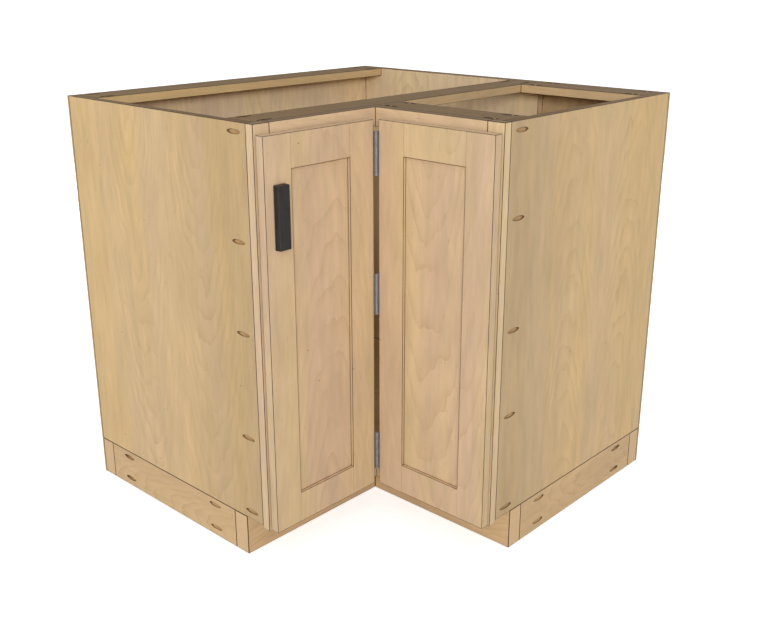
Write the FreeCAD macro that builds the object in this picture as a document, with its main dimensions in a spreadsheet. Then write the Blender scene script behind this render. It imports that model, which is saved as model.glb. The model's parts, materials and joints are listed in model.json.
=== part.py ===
"""Easy reach corner base cabinet: an L-shaped face-frame cabinet with a pair of folding doors.

The footprint is a square centred on the origin, +Z is up and the floor is Z = 0. The two wall sides are the
planes of highest X and highest Y. The left leg has its doorway facing -Y and the right leg has its doorway
facing -X. The right leg is the left leg with X and Y swapped, so a board is placed by its leg, by the span
along the doorway, by the span across it and by the span in height.
"""

import FreeCAD
import Part
import Sketcher
import os
import re

doc = FreeCAD.newDocument("corner_base_cabinet")
sheet = doc.addObject("Spreadsheet::Sheet", "Sizes")

SIZES = {
    "side": 914.4,
    "height": 889.0,
    "leg_depth": 603.25,
    "panel": 19.05,
    "skin": 6.35,
    "stretcher_width": 76.2,
    "back_stretcher_width": 82.55,
    "back_overhang": 6.35,
    "stud_thickness": 38.1,
    "kick_height": 88.9,
    "kick_setback": 69.85,
    "frame_thickness": 19.05,
    "frame_width": 38.1,
    "rail_height": 38.1,
    "frame_drop": 6.35,
    "door_gap": 3.0,
    "door_thickness": 19.05,
    "door_margin": 3.2,
    "door_reveal": 19.05,
    "corner_gap": 7.3,
    "door_frame": 64.8,
    "door_panel": 6.35,
    "groove_depth": 9.5,
    "groove_play": 0.1,
    "pocket_angle": 15.0,
    "pocket_diameter": 9.5,
    "pocket_reach": 60.0,
    "panel_pocket_exit": 9.0,
    "panel_pocket_stop": 16.0,
    "panel_screw_length": 32.0,
    "stud_pocket_exit": 18.0,
    "stud_pocket_stop": 32.0,
    "stud_screw_length": 60.0,
    "screw_head": 8.6,
    "screw_head_height": 2.0,
    "screw_shank": 3.8,
    "screw_play": 0.1,
    "side_hole_end": 17.5,
    "left_hole_low": 182.0,
    "left_hole_high": 580.5,
    "right_hole_low": 221.0,
    "right_hole_high": 620.0,
    "kick_hole_low": 19.5,
    "kick_hole_high": 74.0,
    "stretcher_hole_edge": 10.0,
    "pull_width": 27.0,
    "pull_length": 119.0,
    "pull_depth": 13.0,
    "pull_inset": 21.0,
    "pull_drop": 89.0,
    "pull_round": 1.2,
    "pull_scoop": 2.5,
    "pull_scoop_radius": 5.0,
    "pull_screw_pitch": 96.0,
    "pull_screw": 4.0,
    "pull_screw_bite": 8.0,
    "pull_screw_head": 8.0,
    "pull_screw_head_height": 2.4,
    "hinge_length": 86.4,
    "lower_hinge_rise": 35.6,
    "middle_hinge_rise": 388.5,
    "upper_hinge_drop": 22.3,
    "leaf_thickness": 1.9,
    "leaf_margin": 1.0,
    "knuckle": 6.0,
    "knuckle_gap": 0.4,
    "corner_pin": 3.0,
    "corner_pin_play": 0.05,
    "leaf_screw_head": 7.2,
    "leaf_screw_shank": 3.2,
    "leaf_screw_length": 14.0,
    "leaf_screw_pitch": 29.0,
    "cup_diameter": 35.0,
    "cup_depth": 14.1,
    "cup_wall": 0.8,
    "cup_clear": 1.5,
    "cup_hinge_inset": 90.0,
    "cup_flange": 1.0,
    "cup_flange_width": 28.0,
    "cup_flange_height": 62.0,
    "cup_screw_pitch": 48.0,
    "cup_screw_length": 12.0,
    "cup_pin": 2.4,
    "cup_pin_depth": 10.5,
    "cup_pin_play": 0.05,
    "cheek_thickness": 2.0,
    "cheek_width": 4.0,
    "cheek_clear": 0.4,
    "arm_thickness": 1.5,
    "arm_lift": 0.9,
    "arm_clear": 0.8,
    "arm_width": 8.0,
    "arm_plate_length": 15.0,
    "arm_plate_height": 46.0,
    "arm_plate_gap": 2.0,
    "arm_screw_pitch": 28.0,
    "arm_screw_length": 18.0,
    "bumper_diameter": 9.0,
    "bumper_inset": 14.0,
    "bumper_play": 0.1,
}

for line, (alias, value) in enumerate(SIZES.items(), start=1):
    sheet.set(f"A{line}", alias.replace("_", " "))
    sheet.set(f"B{line}", str(value))
    sheet.setAlias(f"B{line}", alias)
doc.recompute()

# Places that several pieces share, as expressions of the sizes
BACK = "(side / 2)"
INNER_BACK = "(side / 2 - skin)"
PANEL_BACK = "(side / 2 - skin - panel)"
OUTER = "(-side / 2)"
CASE = "(panel - side / 2)"
FRONT = "(side / 2 - leg_depth)"
FRAME_BACK = "(side / 2 - leg_depth + frame_thickness)"
STILE_EDGE = "(frame_width - side / 2)"
KICK_FRONT = "(side / 2 - leg_depth + kick_setback)"
KICK_INNER = "(side / 2 - leg_depth + kick_setback + stud_thickness)"
KICK_BACK = "(side / 2 - skin - stud_thickness)"
PANEL_END = "(side / 2 - leg_depth + frame_thickness - back_overhang)"
DECK = "(kick_height + panel)"
UNDER_TOP = "(height - panel)"
FRAME_FOOT = "(kick_height - frame_drop)"
DOOR_BACK = "(side / 2 - leg_depth - door_gap)"
DOOR_FRONT = "(side / 2 - leg_depth - door_gap - door_thickness)"
DOOR_OUTER = "(door_margin - side / 2)"
DOOR_INNER = "(side / 2 - leg_depth - door_gap - door_thickness - corner_gap)"
DOOR_FOOT = "(kick_height - frame_drop + door_margin)"
DOOR_TOP = "(height - door_reveal)"
DOOR_MIDDLE = "(side / 2 - leg_depth - door_gap - door_thickness / 2)"
CORNER_AXIS = f"({DOOR_INNER} + leaf_thickness)"

X_AXIS = FreeCAD.Vector(1, 0, 0)
Y_AXIS = FreeCAD.Vector(0, 1, 0)
Z_AXIS = FreeCAD.Vector(0, 0, 1)
LEGS = ("left", "right")
subparts = []


def bind(thing, prop, text):
    """Tie a property to an expression written with the plain names of the sizes."""
    named = re.sub(r"[a-z]+(?:_[a-z]+)*", lambda m: "Sizes." + m[0] if m[0] in SIZES else m[0], text)
    thing.setExpression(prop, named)


def turn(leg, along, across, up):
    """Order three things as x, y and z for one leg."""
    return (along, across, up) if leg == "left" else (across, along, up)


def board(label, leg, along, across, up):
    """A rectangular board from its three spans, each a pair of expressions."""
    box = doc.addObject("Part::Box", label)
    for axis, size, (start, stop) in zip("xyz", ("Length", "Width", "Height"), turn(leg, along, across, up)):
        bind(box, "Placement.Base." + axis, start)
        bind(box, size, f"{stop} - ({start})")
    return box


def place(thing, point, direction):
    """Put a round feature at a point, with its own Z along a direction."""
    thing.Placement = FreeCAD.Placement(FreeCAD.Vector(), FreeCAD.Rotation(Z_AXIS, direction))
    for axis, text in zip("xyz", point):
        bind(thing, "Placement.Base." + axis, text)


def rod(label, diameter, length, point, direction):
    """A round bar from a point along a direction."""
    bar = doc.addObject("Part::Cylinder", label)
    bind(bar, "Radius", f"({diameter}) / 2")
    bind(bar, "Height", length)
    place(bar, point, direction)
    return bar


def cone(label, start, stop, length, point, direction):
    """A cone from one diameter at a point to another at the end of its length."""
    body = doc.addObject("Part::Cone", label)
    bind(body, "Radius1", f"({start}) / 2")
    bind(body, "Radius2", f"({stop}) / 2")
    bind(body, "Height", length)
    place(body, point, direction)
    return body


def fuse(label, pieces):
    """One solid, or one tool, from several overlapping pieces."""
    whole = doc.addObject("Part::MultiFuse", label)
    whole.Shapes = pieces
    return whole


def cut(label, base, tools):
    """A piece with tools taken out of it."""
    rest = doc.addObject("Part::Cut", label)
    rest.Base = base
    rest.Tool = tools[0] if len(tools) == 1 else fuse(label + "_tools", tools)
    return rest


def group(label, pieces):
    """Separate solids that share one sub-part."""
    several = doc.addObject("Part::Compound", label)
    several.Links = pieces
    return several


def keep(label, thing):
    """Name a finished sub-part."""
    thing.Label = label
    subparts.append(thing)


class Pocket:
    """One pocket hole with its screw: it enters a face at a slant and leaves at an end of the board."""

    def __init__(self, name, exit_point, toward, outward, stock):
        stop = f"{stock}_pocket_stop"
        length = f"{stock}_screw_length"
        run = "cos(pocket_angle * 1 deg)"
        rise = "sin(pocket_angle * 1 deg)"
        angle = sheet.get("pocket_angle")
        away = FreeCAD.Rotation(toward.cross(outward), 180 - angle).multVec(toward)
        seat = [
            f"{text} + {stop} * ({outward[i]} * {rise} - {toward[i]} * {run})"
            for i, text in enumerate(exit_point)
        ]
        self.pocket = rod(name + "_pocket", "pocket_diameter", "pocket_reach", seat, away)
        self.pilot = rod(name + "_pilot", "screw_shank + screw_play", f"{length} + screw_play", seat, -away)
        head = rod(name + "_head", "screw_head", "screw_head_height", seat, away)
        shank = rod(name + "_shank", "screw_shank", length, seat, -away)
        self.screw = fuse(name + "_screw", [head, shank])


def end_pockets(name, leg, exits, inward, spots):
    """A pair of pockets through the top of a stretcher into what its end meets."""
    toward = FreeCAD.Vector(*turn(leg, inward, 0, 0))
    return [
        Pocket(f"{name}_{i}", turn(leg, along, spot, "height - panel_pocket_exit"), toward, Z_AXIS, "panel")
        for i, (along, spot) in enumerate(zip(exits, spots))
    ]


# Toe kick: studs on edge, the side board of each leg pocket-screwed between front and back
kick_screws = []
for leg in LEGS:
    side_board = board("kick_side_blank_" + leg, leg, (OUTER, f"{OUTER} + stud_thickness"),
                       (KICK_INNER, KICK_BACK), ("0", "kick_height"))
    outward = FreeCAD.Vector(*turn(leg, -1, 0, 0))
    rows = {}
    for end, across, sense in (("front", KICK_INNER, -1), ("back", KICK_BACK, 1)):
        toward = FreeCAD.Vector(*turn(leg, 0, sense, 0))
        rows[end] = [
            Pocket(f"kick_{leg}_{end}_{hole}", turn(leg, f"{OUTER} + stud_pocket_exit", across, hole),
                   toward, outward, "stud")
            for hole in ("kick_hole_low", "kick_hole_high")
        ]
    pockets = rows["front"] + rows["back"]
    keep("toe_kick_side_" + leg, cut("kick_side_" + leg, side_board,
                                     [p.pocket for p in pockets] + [p.pilot for p in pockets]))
    kick_screws += [p.screw for p in pockets]
    front_end = KICK_INNER if leg == "left" else KICK_FRONT
    front_board = board("kick_front_blank_" + leg, leg, (OUTER, front_end), (KICK_FRONT, KICK_INNER),
                        ("0", "kick_height"))
    keep("toe_kick_front_" + leg, cut("kick_front_" + leg, front_board, [p.pilot for p in rows["front"]]))
    back_end = INNER_BACK if leg == "left" else KICK_BACK
    back_board = board("kick_back_blank_" + leg, leg, (OUTER, back_end), (KICK_BACK, INNER_BACK),
                       ("0", "kick_height"))
    keep("toe_kick_back_" + leg, cut("kick_back_" + leg, back_board, [p.pilot for p in rows["back"]]))
keep("toe_kick_pocket_screws", group("kick_screw_group", kick_screws))

# Floor of the case: one L-shaped panel, drawn from the corner where the two walls meet
floor_body = doc.addObject("PartDesign::Body", "bottom_panel_body")
for axis, text in zip("xyz", (INNER_BACK, INNER_BACK, "kick_height")):
    bind(floor_body, "Placement.Base." + axis, text)
ground = [f for f in floor_body.Origin.OriginFeatures if f.Role == "XY_Plane"][0]
outline = floor_body.newObject("Sketcher::SketchObject", "bottom_panel_outline")
outline.AttachmentSupport = [(ground, "")]
outline.MapMode = "FlatFace"
# A rough start for the sketch; its constraints set the sizes
corners = [(0, 0), (-880, 0), (-880, -570), (-570, -570), (-570, -880), (0, -880)]
for start, stop in zip(corners, corners[1:] + corners[:1]):
    outline.addGeometry(Part.LineSegment(FreeCAD.Vector(*start), FreeCAD.Vector(*stop)), False)
for edge in range(6):
    outline.addConstraint(Sketcher.Constraint("Coincident", edge, 2, (edge + 1) % 6, 1))
    outline.addConstraint(Sketcher.Constraint("Vertical" if edge % 2 else "Horizontal", edge))
outline.addConstraint(Sketcher.Constraint("Coincident", 0, 1, -1, 1))
full_run = f"{INNER_BACK} - {CASE}"
leg_run = f"{INNER_BACK} - {FRAME_BACK}"
for edge, text in ((0, full_run), (5, full_run), (1, leg_run), (4, leg_run)):
    length = outline.Geometry[edge].length()
    index = outline.addConstraint(Sketcher.Constraint("Distance", edge, length))
    bind(outline, f"Constraints[{index}]", text)
floor_pad = floor_body.newObject("PartDesign::Pad", "bottom_panel_pad")
floor_pad.Profile = outline
bind(floor_pad, "Length", "panel")
keep("bottom_panel", floor_body)

# Stretchers: flat boards at the top, pocket-screwed through their upper faces near the edges
FRONT_SPAN = (FRAME_BACK, f"({FRAME_BACK} + stretcher_width)")
LEFT_BACK_SPAN = (f"({INNER_BACK} - stretcher_width)", INNER_BACK)
RIGHT_BACK_SPAN = (f"({INNER_BACK} - back_stretcher_width)", INNER_BACK)
stretchers = {
    "back_left_stretcher": ("left", LEFT_BACK_SPAN, (PANEL_BACK, PANEL_BACK)),
    "long_front_stretcher": ("left", FRONT_SPAN, (PANEL_BACK, PANEL_BACK)),
    "right_front_stretcher": ("right", FRONT_SPAN, (FRAME_BACK, FRAME_BACK)),
    "right_back_stretcher": ("right", RIGHT_BACK_SPAN, (FRAME_BACK, PANEL_END)),
}
outer_pockets = {"left": [], "right": []}
inner_pockets = {}
stretcher_blanks = {}
stretcher_tools = {}
stretcher_screws = []
for name, (leg, across, inner_exits) in stretchers.items():
    spots = (f"{across[0]} + stretcher_hole_edge", f"{across[1]} - stretcher_hole_edge")
    outer = end_pockets(name + "_outer", leg, (CASE, CASE), -1, spots)
    inner = end_pockets(name + "_inner", leg, inner_exits, 1, spots)
    outer_pockets[leg] += outer
    inner_pockets[name] = inner
    stretcher_blanks[name] = board(name + "_blank", leg, (CASE, inner_exits[0]), across,
                                   (UNDER_TOP, "height"))
    stretcher_tools[name] = [p.pocket for p in outer + inner] + [p.pilot for p in outer + inner]
    stretcher_screws += [p.screw for p in outer + inner]
right_front_inner = inner_pockets["right_front_stretcher"]
right_back_near, right_back_far = inner_pockets["right_back_stretcher"]
stretcher_tools["long_front_stretcher"] += [p.pilot for p in right_front_inner + [right_back_near]]
right_back_notch = board("right_back_notch", "right", (PANEL_END, FRAME_BACK), (PANEL_BACK, INNER_BACK),
                         (UNDER_TOP, "height"))
stretcher_tools["right_back_stretcher"].append(right_back_notch)
for name, blank in stretcher_blanks.items():
    keep(name, cut(name + "_cut", blank, stretcher_tools[name]))
keep("stretcher_pocket_screws", group("stretcher_screw_group", stretcher_screws))

# Side panels and stiles: five pockets along the front edge hold the stile
side_screws = []
side_levels = {
    "left": ["kick_height + side_hole_end", "kick_height + left_hole_low", "(kick_height + height) / 2",
             "kick_height + left_hole_high", "height - side_hole_end"],
    "right": ["kick_height + side_hole_end", "kick_height + right_hole_low", "(kick_height + height) / 2",
              "kick_height + right_hole_high", "height - side_hole_end"],
}
stile_blanks = {}
stile_pilots = {}
for leg in LEGS:
    blank = board("side_blank_" + leg, leg, (OUTER, CASE), (FRAME_BACK, INNER_BACK),
                  ("kick_height", "height"))
    toward = FreeCAD.Vector(*turn(leg, 0, -1, 0))
    outward = FreeCAD.Vector(*turn(leg, -1, 0, 0))
    pockets = [
        Pocket(f"side_{leg}_{i}", turn(leg, f"{OUTER} + panel_pocket_exit", FRAME_BACK, level),
               toward, outward, "panel")
        for i, level in enumerate(side_levels[leg])
    ]
    tools = [p.pocket for p in pockets] + [p.pilot for p in pockets] + [p.pilot for p in outer_pockets[leg]]
    keep(leg + "_side_panel", cut("side_" + leg, blank, tools))
    side_screws += [p.screw for p in pockets]
    stile_pilots[leg] = [p.pilot for p in pockets]
    stile_blanks[leg] = board("stile_blank_" + leg, leg, (OUTER, STILE_EDGE), (FRONT, FRAME_BACK),
                              (FRAME_FOOT, "height"))
keep("side_panel_pocket_screws", group("side_screw_group", side_screws))

# Rails of the face frame: the left pair runs past the inner corner, the right pair butts against it
for leg in LEGS:
    rail_end = FRAME_BACK if leg == "left" else FRONT
    for name, up in (("top", ("height - rail_height", "height")),
                     ("bottom", (FRAME_FOOT, f"{FRAME_FOOT} + rail_height"))):
        keep(f"{leg}_{name}_rail", board(f"{name}_rail_{leg}", leg, (STILE_EDGE, rail_end),
                                         (FRONT, FRAME_BACK), up))

# Backs: a thick panel inside each leg and a thin skin on each wall side, down to the floor
left_inner = board("left_back", "left", (CASE, PANEL_BACK), (PANEL_BACK, INNER_BACK), (DECK, UNDER_TOP))
keep("left_back_panel", left_inner)
right_inner = board("right_back", "right", (PANEL_END, INNER_BACK), (PANEL_BACK, INNER_BACK),
                    (DECK, "height"))
right_back_pockets = inner_pockets["back_left_stretcher"] + inner_pockets["long_front_stretcher"]
right_back_pockets.append(right_back_far)
keep("right_back_panel", cut("right_back_cut", right_inner, [p.pilot for p in right_back_pockets]))
for leg in LEGS:
    skin_end = BACK if leg == "left" else INNER_BACK
    skin = board("skin_" + leg, leg, (OUTER, skin_end), (INNER_BACK, BACK), ("0", "height"))
    keep(leg + "_back_skin", skin)

# Concealed hinges of the right door: a cup in the door, an arm on the stile's inner edge, one pin
ARM_KNUCKLE = "(2 * arm_lift + 2 * arm_thickness)"
CUP_ALONG = f"({STILE_EDGE} + arm_thickness + cup_clear - cup_diameter / 2 + cup_wall)"
PIN_ALONG = f"({CUP_ALONG} - cup_diameter / 2 + cup_wall + {ARM_KNUCKLE} / 2 + arm_clear)"
PIN_ACROSS = f"({DOOR_BACK} - cup_pin_depth)"
CUP_PIN_LENGTH = "(arm_width + 2 * cheek_clear + 2 * cheek_thickness)"
CUP_SCREW_ALONG = f"{CUP_ALONG} + cup_flange_width / 4"
ARM_TOP = f"({PIN_ACROSS} - arm_lift - arm_thickness)"
PLATE_START = f"({FRONT} + arm_plate_gap)"
cup_bores = []
cup_screws = []
arm_screws = []
arm_pilots = []
cup_heights = {"upper": f"({DOOR_TOP} - cup_hinge_inset)", "lower": f"({DOOR_FOOT} + cup_hinge_inset)"}
for name, level in cup_heights.items():
    mouth = (DOOR_BACK, CUP_ALONG, level)
    pin_low = f"{level} - {CUP_PIN_LENGTH} / 2"
    pin_high = f"{level} + {CUP_PIN_LENGTH} / 2"
    pin_foot = (PIN_ACROSS, PIN_ALONG, pin_low)
    flange_top = f"{DOOR_BACK} + cup_flange"
    shell = rod(f"{name}_cup_shell", "cup_diameter", "cup_depth", mouth, -X_AXIS)
    flange = board(f"{name}_cup_flange", "right",
                   (f"{CUP_ALONG} - cup_flange_width / 2", f"{CUP_ALONG} + cup_flange_width / 2"),
                   (DOOR_BACK, flange_top),
                   (f"{level} - cup_flange_height / 2", f"{level} + cup_flange_height / 2"))
    hollow = rod(f"{name}_cup_hollow", "cup_diameter - 2 * cup_wall", "cup_depth - cup_wall + cup_flange",
                 (flange_top, CUP_ALONG, level), -X_AXIS)
    cheeks = [
        board(f"{name}_cup_cheek_{side}", "right",
              (f"{PIN_ALONG} - cheek_width / 2", f"{PIN_ALONG} + cheek_width / 2"),
              (f"{DOOR_BACK} - cup_depth", f"{PIN_ACROSS} + cheek_width / 2"), span)
        for side, span in (
            ("low", (pin_low, f"{pin_low} + cheek_thickness")),
            ("high", (f"{pin_high} - cheek_thickness", pin_high)),
        )
    ]
    pin_hole = rod(f"{name}_cup_pin_hole", "cup_pin + screw_play", CUP_PIN_LENGTH, pin_foot, Z_AXIS)
    flange_holes = []
    for sense in (-1, 1):
        spot = f"{level} + {sense} * cup_screw_pitch / 2"
        seat = (flange_top, CUP_SCREW_ALONG, spot)
        flange_holes.append(rod(f"{name}_cup_screw_hole_{sense}", "leaf_screw_shank + screw_play",
                                "cup_screw_length + screw_play", seat, -X_AXIS))
        head = rod(f"{name}_cup_screw_head_{sense}", "leaf_screw_head", "cup_flange", seat, X_AXIS)
        shank = rod(f"{name}_cup_screw_shank_{sense}", "leaf_screw_shank", "cup_screw_length", seat, -X_AXIS)
        cup_screws.append(fuse(f"{name}_cup_screw_{sense}", [head, shank]))
    cup_shell = cut(f"{name}_cup_open", fuse(f"{name}_cup_body", [shell, flange]), [hollow])
    cup_whole = fuse(f"{name}_cup_whole", [cup_shell] + cheeks)
    keep(f"{name}_hinge_cup", cut(f"{name}_cup", cup_whole, [pin_hole] + flange_holes))
    bore = rod(f"{name}_cup_bore", "cup_diameter + screw_play", "cup_depth + screw_play", mouth, -X_AXIS)
    cup_bores += [bore] + flange_holes
    keep(f"{name}_hinge_cup_pin", rod(f"{name}_cup_pin_bar", "cup_pin", CUP_PIN_LENGTH, pin_foot, Z_AXIS))

    knuckle_foot = (PIN_ACROSS, PIN_ALONG, f"{level} - arm_width / 2")
    knuckle = rod(f"{name}_arm_knuckle", ARM_KNUCKLE, "arm_width", knuckle_foot, Z_AXIS)
    arm_span = (f"{level} - arm_width / 2", f"{level} + arm_width / 2")
    outer_face = f"{STILE_EDGE} + arm_thickness"
    reach = board(f"{name}_arm_reach", "right", (PIN_ALONG, outer_face),
                  (ARM_TOP, f"{ARM_TOP} + arm_thickness"), arm_span)
    neck = board(f"{name}_arm_neck", "right", (STILE_EDGE, outer_face),
                 (ARM_TOP, f"{PLATE_START} + arm_plate_length"), arm_span)
    plate = board(f"{name}_arm_plate", "right", (STILE_EDGE, outer_face),
                  (PLATE_START, f"{PLATE_START} + arm_plate_length"),
                  (f"{level} - arm_plate_height / 2", f"{level} + arm_plate_height / 2"))
    arm_bore = rod(f"{name}_arm_bore", "cup_pin + 2 * cup_pin_play", "arm_width", knuckle_foot, Z_AXIS)
    plate_holes = []
    for sense in (-1, 1):
        spot = f"{level} + {sense} * arm_screw_pitch / 2"
        seat = (f"{PLATE_START} + arm_plate_length / 2", outer_face, spot)
        plate_holes.append(rod(f"{name}_arm_screw_hole_{sense}", "leaf_screw_shank + screw_play",
                               "arm_screw_length + screw_play", seat, -Y_AXIS))
        head = rod(f"{name}_arm_screw_head_{sense}", "leaf_screw_head", "screw_head_height", seat, Y_AXIS)
        shank = rod(f"{name}_arm_screw_shank_{sense}", "leaf_screw_shank", "arm_screw_length", seat, -Y_AXIS)
        arm_screws.append(fuse(f"{name}_arm_screw_{sense}", [head, shank]))
    arm_body = fuse(f"{name}_arm_body", [knuckle, reach, neck, plate])
    keep(f"{name}_hinge_arm", cut(f"{name}_arm", arm_body, [arm_bore] + plate_holes))
    arm_pilots += plate_holes
keep("hinge_cup_screws", group("cup_screw_group", cup_screws))
keep("hinge_arm_screws", group("arm_screw_group", arm_screws))
keep("left_stile", cut("stile_left", stile_blanks["left"], stile_pilots["left"]))
keep("right_stile", cut("stile_right", stile_blanks["right"], stile_pilots["right"] + arm_pilots))

# Corner hinges: a leaf on the inner edge of each door, five knuckles and a pin
KNUCKLES = 5
leaf_screws = {"left": [], "right": []}
leaf_pilots = {"left": [], "right": []}
corner_levels = {
    "lower": f"({DOOR_FOOT} + lower_hinge_rise)",
    "middle": f"({DOOR_FOOT} + middle_hinge_rise)",
    "upper": f"({DOOR_TOP} - upper_hinge_drop - hinge_length)",
}
segment = f"hinge_length / {KNUCKLES}"
for name, foot in corner_levels.items():
    axis_foot = (CORNER_AXIS, CORNER_AXIS, foot)
    bore = rod(f"{name}_corner_bore", "corner_pin + 2 * corner_pin_play", "hinge_length", axis_foot, Z_AXIS)
    for leg in LEGS:
        own = range(0, KNUCKLES, 2) if leg == "right" else range(1, KNUCKLES, 2)
        plate = board(f"{name}_leaf_plate_{leg}", leg, (DOOR_INNER, CORNER_AXIS),
                      (CORNER_AXIS, f"{DOOR_BACK} - leaf_margin"), (foot, f"{foot} + hinge_length"))
        barrels = []
        notches = []
        for k in range(KNUCKLES):
            start = f"{foot} + {k} * {segment}"
            if k in own:
                spot = (CORNER_AXIS, CORNER_AXIS, f"{start} + knuckle_gap / 2")
                barrels.append(rod(f"{name}_{leg}_barrel_{k}", "knuckle", f"{segment} - knuckle_gap",
                                   spot, Z_AXIS))
            else:
                spot = (CORNER_AXIS, CORNER_AXIS, start)
                notches.append(rod(f"{name}_{leg}_notch_{k}", "knuckle + 2 * knuckle_gap", segment,
                                   spot, Z_AXIS))
        into_door = FreeCAD.Vector(*turn(leg, -1, 0, 0))
        sinks = []
        for step in (-1, 0, 1):
            level = f"{foot} + hinge_length / 2 + {step} * leaf_screw_pitch"
            face = turn(leg, CORNER_AXIS, DOOR_MIDDLE, level)
            edge = turn(leg, DOOR_INNER, DOOR_MIDDLE, level)
            tag = f"{name}_{leg}_{step}"
            sinks.append(cone(tag + "_sink", "leaf_screw_head + screw_play", "leaf_screw_shank + screw_play",
                              "leaf_thickness", face, into_door))
            head = cone(tag + "_head", "leaf_screw_head", "leaf_screw_shank", "leaf_thickness",
                        face, into_door)
            shank = rod(tag + "_shank", "leaf_screw_shank", "leaf_screw_length - leaf_thickness",
                        edge, into_door)
            leaf_screws[leg].append(fuse(tag + "_screw", [head, shank]))
            leaf_pilots[leg].append(rod(tag + "_pilot", "leaf_screw_shank + screw_play",
                                        "leaf_screw_length - leaf_thickness + screw_play", edge, into_door))
        trimmed = cut(f"{name}_leaf_trim_{leg}", plate, notches)
        leaf = fuse(f"{name}_leaf_body_{leg}", [trimmed] + barrels)
        keep(f"{name}_corner_hinge_{leg}_leaf", cut(f"{name}_leaf_{leg}", leaf, [bore] + sinks))
    corner_pin = rod(f"{name}_corner_pin", "corner_pin", "hinge_length", axis_foot, Z_AXIS)
    keep(f"{name}_corner_hinge_pin", corner_pin)
for leg in LEGS:
    keep(f"corner_hinge_{leg}_screws", group(f"leaf_screw_group_{leg}", leaf_screws[leg]))

# Pull of the left door: a solid bar with a finger scoop along its inner side
PULL_ALONG = f"({DOOR_OUTER} + pull_inset + pull_width / 2)"
PULL_LEVEL = f"({DOOR_TOP} - pull_drop - pull_length / 2)"
pull_body = doc.addObject("PartDesign::Body", "pull_body")
for axis, text in zip("xyz", (PULL_ALONG, DOOR_FRONT, PULL_LEVEL)):
    bind(pull_body, "Placement.Base." + axis, text)
plan = [f for f in pull_body.Origin.OriginFeatures if f.Role == "XY_Plane"][0]
section = pull_body.newObject("Sketcher::SketchObject", "pull_section")
section.AttachmentSupport = [(plan, "")]
section.MapMode = "FlatFace"
half_width = sheet.get("pull_width") / 2
depth = sheet.get("pull_depth")
bar = [(-half_width, 0), (half_width, 0), (half_width, -depth), (-half_width, -depth)]
for start, stop in zip(bar, bar[1:] + bar[:1]):
    section.addGeometry(Part.LineSegment(FreeCAD.Vector(*start), FreeCAD.Vector(*stop)), False)
for edge in range(4):
    section.addConstraint(Sketcher.Constraint("Coincident", edge, 2, (edge + 1) % 4, 1))
    section.addConstraint(Sketcher.Constraint("Vertical" if edge % 2 else "Horizontal", edge))
section.addConstraint(Sketcher.Constraint("Symmetric", 0, 1, 0, 2, -1, 1))
for edge, text in ((0, "pull_width"), (1, "pull_depth")):
    index = section.addConstraint(Sketcher.Constraint("Distance", edge, section.Geometry[edge].length()))
    bind(section, f"Constraints[{index}]", text)
pull_pad = pull_body.newObject("PartDesign::Pad", "pull_pad")
pull_pad.Profile = section
pull_pad.SideType = "Symmetric"
bind(pull_pad, "Length", "pull_length")
doc.recompute()
front_edges = [
    f"Edge{i}" for i, edge in enumerate(pull_pad.Shape.Edges, start=1)
    if max(v.Y for v in edge.Vertexes) < -depth / 2
]
pull_fillet = pull_body.newObject("PartDesign::Fillet", "pull_fillet")
pull_fillet.Base = (pull_pad, front_edges)
bind(pull_fillet, "Radius", "pull_round")
scoop_sketch = pull_body.newObject("Sketcher::SketchObject", "pull_scoop_section")
scoop_sketch.AttachmentSupport = [(plan, "")]
scoop_sketch.MapMode = "FlatFace"
scoop_radius = sheet.get("pull_scoop_radius")
scoop_centre = FreeCAD.Vector(half_width + scoop_radius - sheet.get("pull_scoop"), -depth / 2, 0)
scoop_sketch.addGeometry(Part.Circle(scoop_centre, Z_AXIS, scoop_radius), False)
index = scoop_sketch.addConstraint(Sketcher.Constraint("Radius", 0, scoop_radius))
bind(scoop_sketch, f"Constraints[{index}]", "pull_scoop_radius")
index = scoop_sketch.addConstraint(Sketcher.Constraint("DistanceX", -1, 1, 0, 3, scoop_centre.x))
bind(scoop_sketch, f"Constraints[{index}]", "pull_width / 2 + pull_scoop_radius - pull_scoop")
index = scoop_sketch.addConstraint(Sketcher.Constraint("DistanceY", 0, 3, -1, 1, depth / 2))
bind(scoop_sketch, f"Constraints[{index}]", "pull_depth / 2")
scoop = pull_body.newObject("PartDesign::Pocket", "pull_scoop_cut")
scoop.Profile = scoop_sketch
scoop.SideType = "Symmetric"
bind(scoop, "Length", "pull_length - 6 * pull_round")
pull_screws = []
pull_taps = []
pull_holes = []
for sense in (-1, 1):
    level = f"{PULL_LEVEL} + {sense} * pull_screw_pitch / 2"
    back = (PULL_ALONG, DOOR_BACK, level)
    seat = (PULL_ALONG, f"{DOOR_BACK} - pull_screw_head_height", level)
    length = "door_thickness - pull_screw_head_height + pull_screw_bite"
    shank = rod(f"pull_shank_{sense}", "pull_screw", length, seat, -Y_AXIS)
    head = rod(f"pull_head_{sense}", "pull_screw_head", "pull_screw_head_height", back, -Y_AXIS)
    pull_screws.append(fuse(f"pull_screw_{sense}", [shank, head]))
    pull_taps.append(rod(f"pull_tap_{sense}", "pull_screw + screw_play", f"{length} + screw_play",
                         seat, -Y_AXIS))
    pull_holes.append(rod(f"pull_counterbore_{sense}", "pull_screw_head + screw_play",
                          "pull_screw_head_height", back, -Y_AXIS))
keep("pull", cut("pull_tapped", pull_body, pull_taps))
keep("pull_screws", group("pull_screw_group", pull_screws))

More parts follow.
